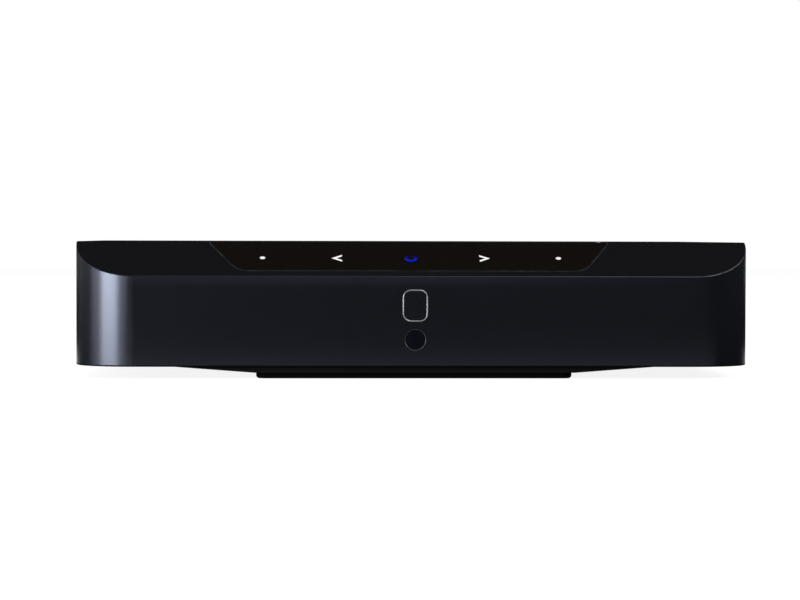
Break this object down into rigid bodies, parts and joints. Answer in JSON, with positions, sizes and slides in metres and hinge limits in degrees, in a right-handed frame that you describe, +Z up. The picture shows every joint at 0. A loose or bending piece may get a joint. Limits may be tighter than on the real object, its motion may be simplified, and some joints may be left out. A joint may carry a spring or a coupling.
{
  "type": "streaming amplifier",
  "caption": "Low black amplifier box with a sloped front touch band, a keeled base on rubber strips, and rear sockets with screw terminals.",
  "frame": {"origin": "on the surface that the rubber strips rest on, at the middle of the overall width and depth", "axes": "+X along the width to the right seen from the front, +Y to the rear, +Z up"},
  "size_m": [0.219, 0.193, 0.044],
  "materials": {
    "shell_plastic": "satin",
    "smoked_lens": "gloss",
    "pan_steel": "fine powder coat",
    "panel_steel": "fine powder coat",
    "foot_rubber": "matte",
    "white_light": "lit",
    "blue_light": "lit",
    "dark_window": "gloss",
    "polished_trim": "polished",
    "black_screw": "black oxide",
    "bright_steel": "plated",
    "gold_plate": "gold plated",
    "black_plastic": "moulded",
    "red_plastic": "moulded",
    "cap_black": "moulded",
    "white_plastic": "moulded",
    "board_green": "solder mask",
    "chip_black": "moulded",
    "pad_grey": "soft",
    "sink_aluminium": "anodised",
    "ferrite": "sintered",
    "copper_wire": "enamelled",
    "can_sleeve": "shrunk sleeve",
    "film_sleeve": "dipped",
    "sheet_amber": "polyester film",
    "ribbon_white": "laminated",
    "fuse_glass": "clear"
  },
  "bodies": {
    "root": {"top_shell": "shell_plastic", "base_pan": "pan_steel", "foot_strips": "foot_rubber", "pan_screws": "black_screw", "rear_panel": "panel_steel", "touch_panel": "smoked_lens", "symbol_windows": "white_light", "ring_window": "blue_light", "panel_gasket": "pad_grey", "touch_board": "board_green", "touch_lamps": "white_plastic", "sensor_window": "dark_window", "sensor_board": "board_green", "ir_receiver": "chip_black", "badge_frame": "polished_trim", "main_board": "board_green", "power_board": "board_green", "board_screws": "bright_steel", "barrier_sheet": "sheet_amber", "processor_chips": "chip_black", "processor_shield": "bright_steel", "wireless_module": "bright_steel", "amplifier_chips": "chip_black", "thermal_pads": "pad_grey", "amplifier_heatsink": "sink_aluminium", "output_inductors": "ferrite", "film_capacitors": "film_sleeve", "reservoir_capacitors": "can_sleeve", "bulk_capacitor": "can_sleeve", "transformer_core": "ferrite", "transformer_bobbin": "black_plastic", "transformer_winding": "copper_wire", "mains_choke": "copper_wire", "mains_fuse": "fuse_glass", "supply_heatsink": "sink_aluminium", "supply_transistors": "chip_black", "board_headers": "white_plastic", "power_cable": "black_plastic", "touch_ribbon": "ribbon_white", "sensor_ribbon": "ribbon_white", "mains_inlet": "black_plastic", "inlet_pins": "bright_steel", "rca_housing": "black_plastic", "rca_barrel": "gold_plate", "hdmi_shell": "bright_steel", "usb_shell": "bright_steel", "port_inserts": "black_plastic", "lan_shell": "bright_steel", "lan_insert": "black_plastic", "control_jack": "black_plastic", "terminal_block": "black_plastic", "terminal_stems": "gold_plate"},
    "clamp_1": {"terminal_clamp_1": "gold_plate"},
    "cap_1": {"terminal_cap_1": "cap_black"},
    "clamp_2": {"terminal_clamp_2": "gold_plate"},
    "cap_2": {"terminal_cap_2": "red_plastic"},
    "clamp_3": {"terminal_clamp_3": "gold_plate"},
    "cap_3": {"terminal_cap_3": "cap_black"},
    "clamp_4": {"terminal_clamp_4": "gold_plate"},
    "cap_4": {"terminal_cap_4": "red_plastic"}
  },
  "joints": [
    {"name": "clamp_1_slide", "type": "slide", "parent": "root", "child": "clamp_1", "axis": [0, 1, 0], "range_m": [0, 0.004]},
    {"name": "cap_1_turn", "type": "hinge", "parent": "clamp_1", "child": "cap_1", "pos_m": [0.084, 0.0938, 0.023], "axis": [0, 1, 0], "range_deg": [0, 1800]},
    {"name": "clamp_2_slide", "type": "slide", "parent": "root", "child": "clamp_2", "axis": [0, 1, 0], "range_m": [0, 0.004]},
    {"name": "cap_2_turn", "type": "hinge", "parent": "clamp_2", "child": "cap_2", "pos_m": [0.065, 0.0938, 0.023], "axis": [0, 1, 0], "range_deg": [0, 1800]},
    {"name": "clamp_3_slide", "type": "slide", "parent": "root", "child": "clamp_3", "axis": [0, 1, 0], "range_m": [0, 0.004]},
    {"name": "cap_3_turn", "type": "hinge", "parent": "clamp_3", "child": "cap_3", "pos_m": [0.046, 0.0938, 0.023], "axis": [0, 1, 0], "range_deg": [0, 1800]},
    {"name": "clamp_4_slide", "type": "slide", "parent": "root", "child": "clamp_4", "axis": [0, 1, 0], "range_m": [0, 0.004]},
    {"name": "cap_4_turn", "type": "hinge", "parent": "clamp_4", "child": "cap_4", "pos_m": [0.027, 0.0938, 0.023], "axis": [0, 1, 0], "range_deg": [0, 1800]}
  ],
  "couplings": [
    {"joint": "cap_1_turn", "follows": "clamp_1_slide", "rad_per_m": 7853.9},
    {"joint": "cap_2_turn", "follows": "clamp_2_slide", "rad_per_m": 7853.9},
    {"joint": "cap_3_turn", "follows": "clamp_3_slide", "rad_per_m": 7853.9},
    {"joint": "cap_4_turn", "follows": "clamp_4_slide", "rad_per_m": 7853.9}
  ]
}
